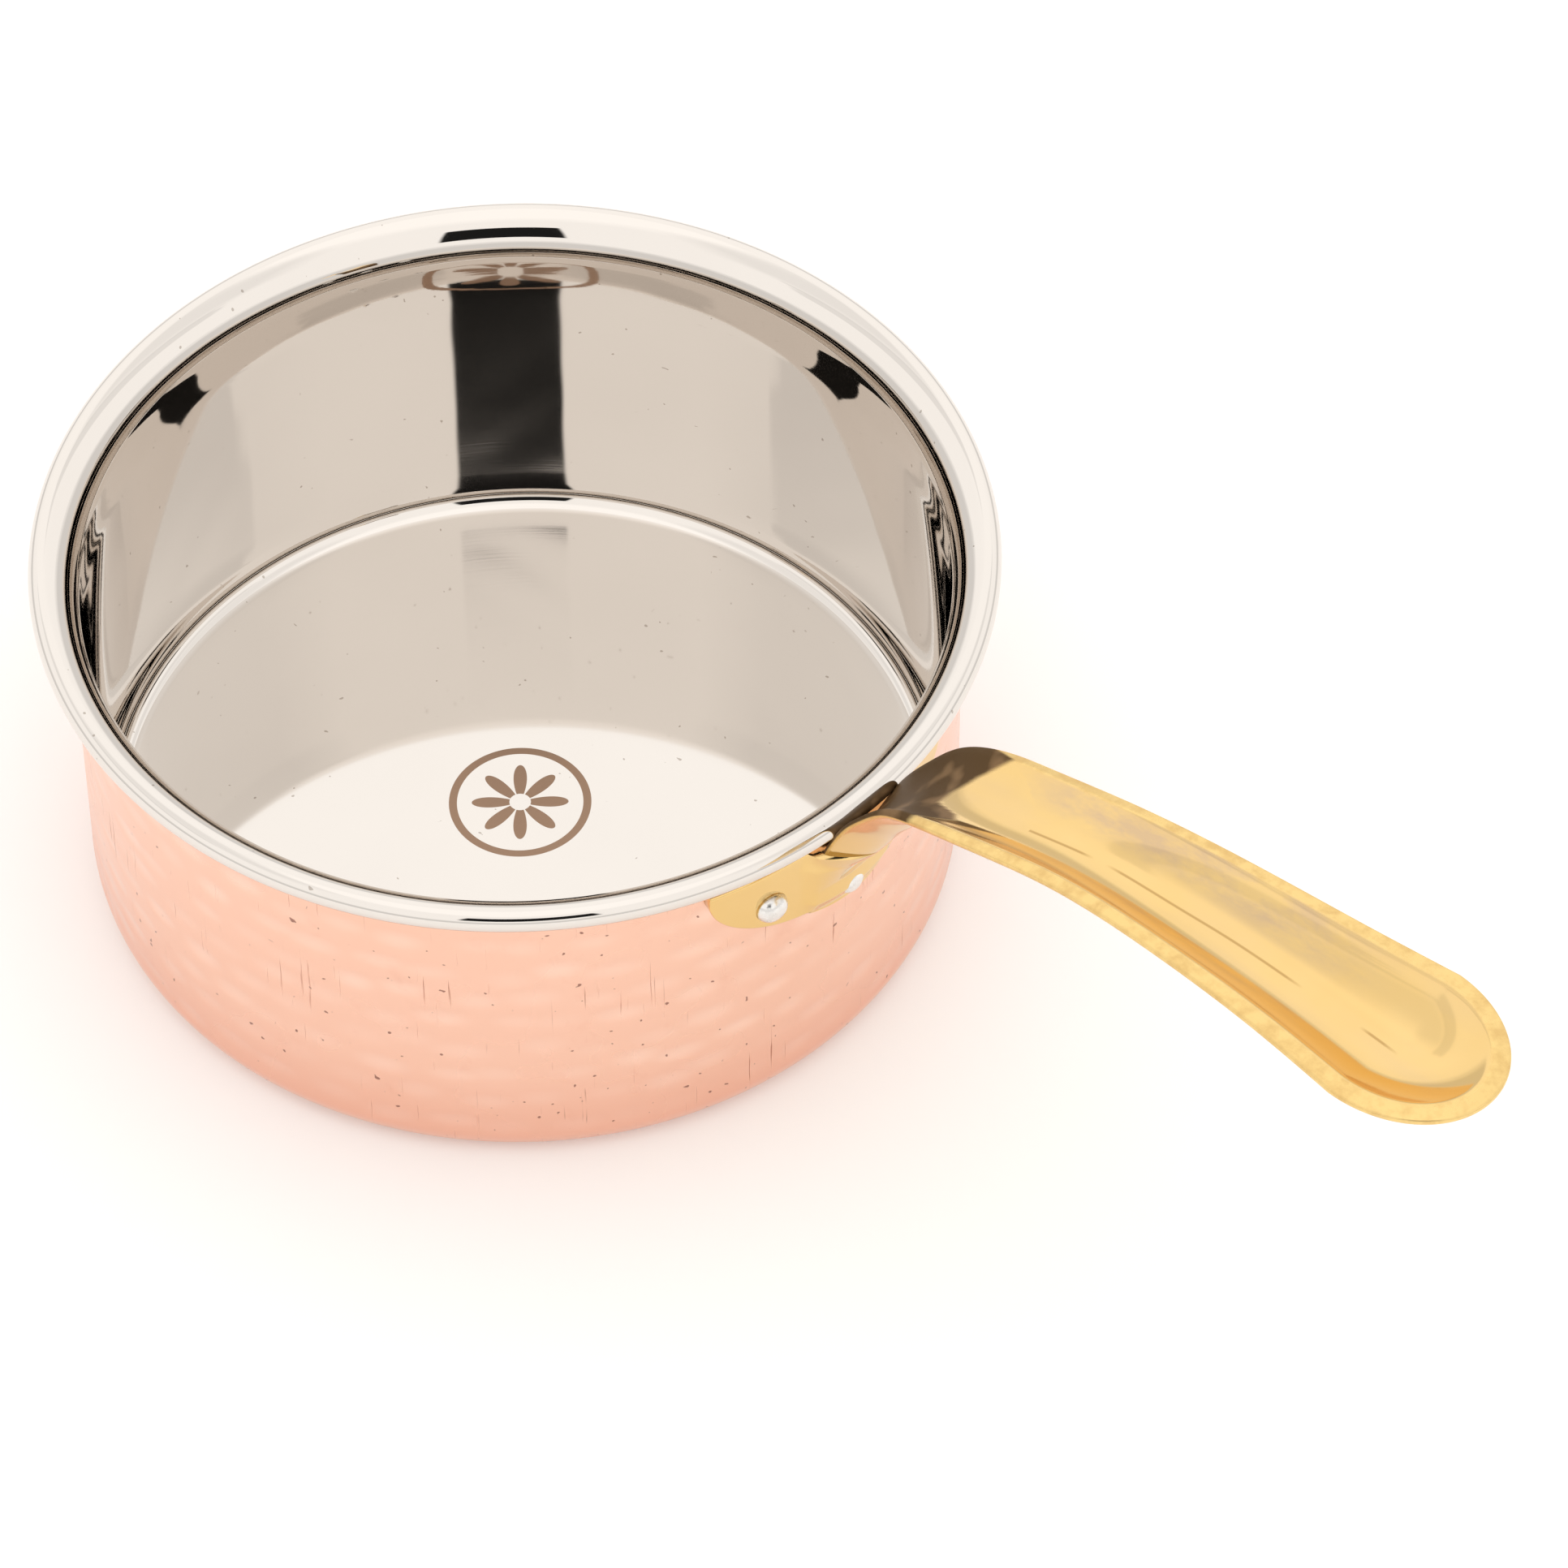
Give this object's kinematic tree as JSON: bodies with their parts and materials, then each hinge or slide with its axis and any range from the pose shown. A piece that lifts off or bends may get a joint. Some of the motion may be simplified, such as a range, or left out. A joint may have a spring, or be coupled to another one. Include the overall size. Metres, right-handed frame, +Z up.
{
  "type": "saucepan",
  "caption": "Small copper-clad saucepan with a steel lining and rolled steel rim, and a riveted cast brass handle shaped like a long spoon.",
  "frame": {"origin": "centre of the pan's flat underside", "axes": "+Z up through the pan's axis, +X from the pan's axis along the handle, +Y to the left of the handle when looking out along it"},
  "size_m": [0.2869, 0.16, 0.1053],
  "materials": {
    "polished_steel": "polished stainless steel with faint brushing and fine scratches",
    "hammered_copper": "lightly hammered and polished copper with faint specks and tarnish",
    "cast_brass": "polished brass in the trough, satin filed lips, light tarnish",
    "rivet_steel": "bright worn steel"
  },
  "bodies": {
    "root": {"steel_liner": "polished_steel", "copper_shell": "hammered_copper", "handle": "cast_brass", "rivet_left": "rivet_steel", "rivet_centre": "rivet_steel", "rivet_right": "rivet_steel"}
  },
  "joints": []
}
